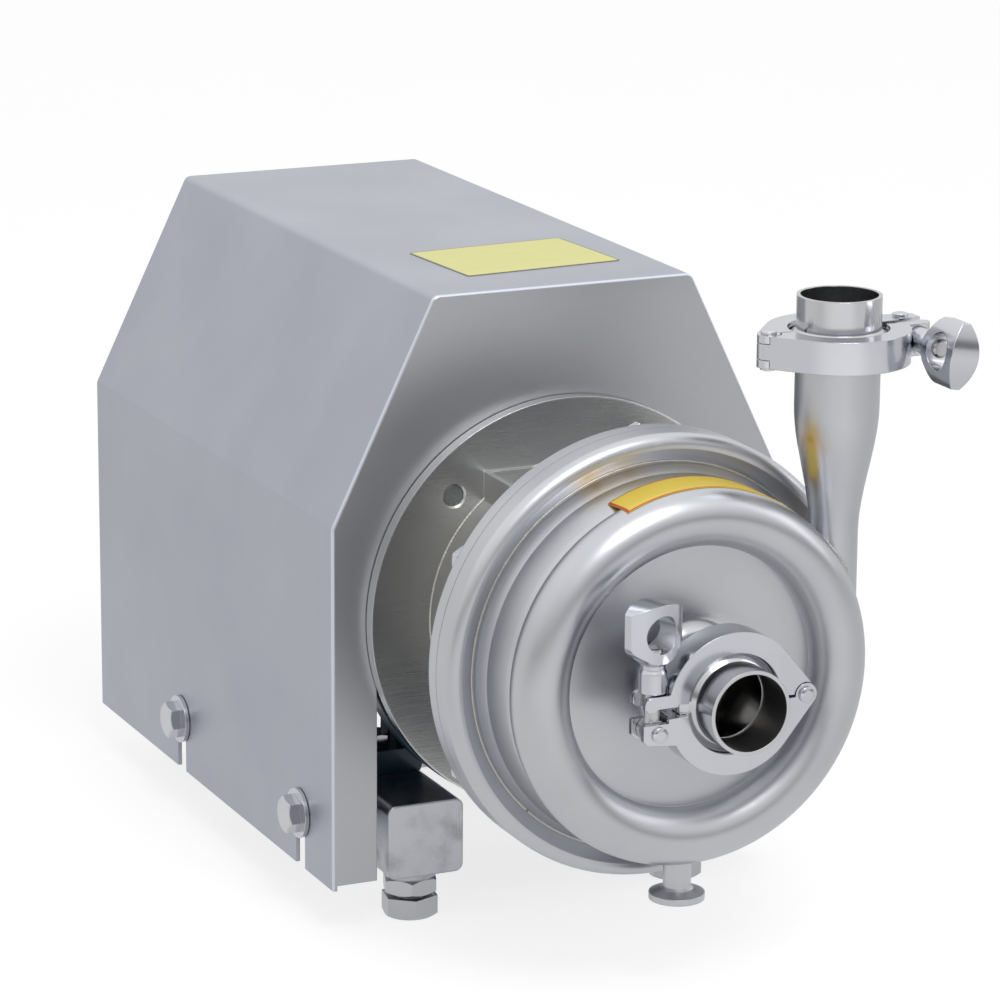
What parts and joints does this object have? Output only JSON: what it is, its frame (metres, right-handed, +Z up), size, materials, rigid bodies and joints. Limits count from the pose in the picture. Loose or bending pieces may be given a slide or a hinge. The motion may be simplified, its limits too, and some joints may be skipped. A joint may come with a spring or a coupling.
{
  "type": "sanitary centrifugal pump",
  "caption": "Close-coupled hygienic centrifugal pump with hinged clamps on its ports, a covered flange motor and screwed levelling feet.",
  "frame": {"origin": "centre of the suction port's open face, on the shaft's axis", "axes": "+Y along the shaft from the suction port to the motor, +Z up and along the discharge port, +X to the discharge side"},
  "size_m": [0.2496, 0.5113, 0.3156],
  "materials": {
    "pump_steel": "satin, bead-blasted stainless steel",
    "cover_steel": "brushed stainless sheet",
    "polished_steel": "polished cast stainless steel",
    "bright_steel": "bright fasteners and shafts",
    "rail_steel": "satin stainless tube",
    "motor_paint": "dark blue motor enamel",
    "laminations": "stacked steel laminations",
    "copper": "varnished copper windings",
    "carbon": "carbon and ceramic seal faces",
    "seal_white": "white gasket",
    "seal_black": "black rubber",
    "fan_plastic": "moulded fan"
  },
  "bodies": {
    "frame": {"casing": "pump_steel", "back_plate": "pump_steel", "casing_seal_ring": "seal_black", "casing_bolts": "bright_steel", "seal_seat": "carbon", "lantern": "pump_steel", "lantern_lid": "pump_steel", "lantern_bolts": "bright_steel", "adapter_bolts": "bright_steel", "motor_flange_shield": "motor_paint", "motor_housing": "motor_paint", "motor_rear_shield": "motor_paint", "stator_core": "laminations", "stator_windings": "copper", "front_bearing": "bright_steel", "rear_bearing": "bright_steel", "fan_cowl": "motor_paint", "terminal_box": "motor_paint", "terminal_box_lid": "motor_paint", "cable_gland": "seal_black", "left_rail": "rail_steel", "right_rail": "rail_steel", "crossbars": "rail_steel", "lock_nuts": "bright_steel", "motor_foot_bolts": "bright_steel", "motor_foot_nuts": "bright_steel", "cover_washers": "bright_steel", "cover_bolts": "bright_steel", "suction_ferrule": "polished_steel", "suction_gasket": "seal_white", "discharge_ferrule": "polished_steel", "discharge_gasket": "seal_white", "suction_clamp_fixed_half": "polished_steel", "suction_clamp_pins": "polished_steel", "discharge_clamp_fixed_half": "polished_steel", "discharge_clamp_pins": "polished_steel"},
    "rotor": {"motor_shaft": "bright_steel", "rotor_core": "laminations", "bearing_inner_rings": "bright_steel", "cooling_fan": "fan_plastic", "stub_shaft": "bright_steel", "set_screws": "bright_steel", "seal_ring": "carbon", "seal_spring": "bright_steel", "seal_collar": "bright_steel", "impeller": "pump_steel", "impeller_nut": "polished_steel"},
    "cover": {"motor_cover": "cover_steel"},
    "front_left_foot": {"front_left_foot": "bright_steel"},
    "front_right_foot": {"front_right_foot": "bright_steel"},
    "rear_left_foot": {"rear_left_foot": "bright_steel"},
    "rear_right_foot": {"rear_right_foot": "bright_steel"},
    "suction_clamp_half": {"suction_clamp_moving_half": "polished_steel"},
    "suction_bolt": {"suction_swing_bolt": "polished_steel"},
    "suction_nut": {"suction_wing_nut": "polished_steel"},
    "discharge_clamp_half": {"discharge_clamp_moving_half": "polished_steel"},
    "discharge_bolt": {"discharge_swing_bolt": "polished_steel"},
    "discharge_nut": {"discharge_wing_nut": "polished_steel"}
  },
  "joints": [
    {"name": "shaft_spin", "type": "hinge", "parent": "frame", "child": "rotor", "pos_m": [0, 0, 0], "axis": [0, 1, 0], "continuous": true},
    {"name": "cover_lift", "type": "slide", "parent": "frame", "child": "cover", "axis": [0, 0, 1], "range_m": [0, 0.3]},
    {"name": "front_left_foot_extend", "type": "slide", "parent": "frame", "child": "front_left_foot", "axis": [0, 0, -1], "range_m": [0, 0.01]},
    {"name": "front_right_foot_extend", "type": "slide", "parent": "frame", "child": "front_right_foot", "axis": [0, 0, -1], "range_m": [0, 0.01]},
    {"name": "rear_left_foot_extend", "type": "slide", "parent": "frame", "child": "rear_left_foot", "axis": [0, 0, -1], "range_m": [0, 0.01]},
    {"name": "rear_right_foot_extend", "type": "slide", "parent": "frame", "child": "rear_right_foot", "axis": [0, 0, -1], "range_m": [0, 0.01]},
    {"name": "suction_bolt_swing", "type": "hinge", "parent": "frame", "child": "suction_bolt", "pos_m": [-0.0365, 0.0223, -0.0096], "axis": [0, -1, 0], "range_deg": [0, 100]},
    {"name": "suction_nut_travel", "type": "slide", "parent": "suction_bolt", "child": "suction_nut", "axis": [0, 0, 1], "range_m": [0, 0.014]},
    {"name": "suction_clamp_open", "type": "hinge", "parent": "frame", "child": "suction_clamp_half", "pos_m": [0.035, 0.0223, 0], "axis": [0, 1, 0], "range_deg": [0, 10]},
    {"name": "discharge_bolt_swing", "type": "hinge", "parent": "frame", "child": "discharge_bolt", "pos_m": [0.1121, 0.0771, 0.1427], "axis": [0, 0, 1], "range_deg": [0, 100]},
    {"name": "discharge_nut_travel", "type": "slide", "parent": "discharge_bolt", "child": "discharge_nut", "axis": [0, -1, 0], "range_m": [0, 0.014]},
    {"name": "discharge_clamp_open", "type": "hinge", "parent": "frame", "child": "discharge_clamp_half", "pos_m": [0.0406, 0.0675, 0.1427], "axis": [0, 0, -1], "range_deg": [0, 10]}
  ],
  "couplings": [
    {"joint": "suction_clamp_open", "follows": "suction_nut_travel", "rad_per_m": 12.4},
    {"joint": "discharge_clamp_open", "follows": "discharge_nut_travel", "rad_per_m": 12.4}
  ]
}
